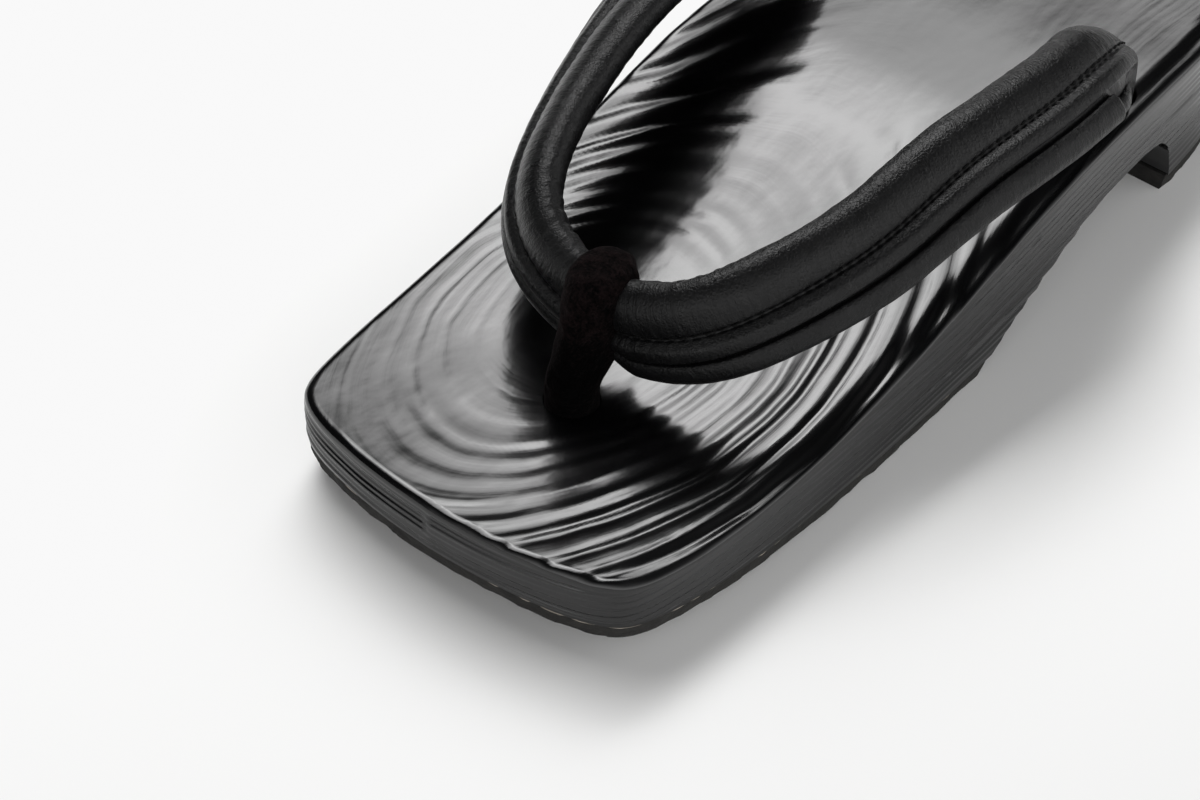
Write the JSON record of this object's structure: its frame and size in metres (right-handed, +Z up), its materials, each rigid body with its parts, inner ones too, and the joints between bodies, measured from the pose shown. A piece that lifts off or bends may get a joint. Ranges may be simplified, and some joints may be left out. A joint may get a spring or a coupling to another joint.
{
  "type": "low wooden clog sandal",
  "caption": "Low block sandal: one carved wood platform with an arch cut underneath, rubber tread sheets, padded straps and a toe thong.",
  "frame": {"origin": "on the floor under the middle of the whole sandal", "axes": "+Z up, +Y from the toe to the heel, +X across the sandal"},
  "size_m": [0.1178, 0.256, 0.0679],
  "materials": {
    "lacquered_wood": "black gloss lacquer over ringed relief",
    "sole_rubber": "matt sheet rubber, edges trimmed by hand",
    "strap_leather": "soft black grain leather over padding",
    "thong_velvet": "black brown velvet"
  },
  "bodies": {
    "root": {"deck": "lacquered_wood", "sole_front": "sole_rubber", "sole_heel": "sole_rubber", "straps": "strap_leather", "front_thong": "thong_velvet"}
  },
  "joints": []
}
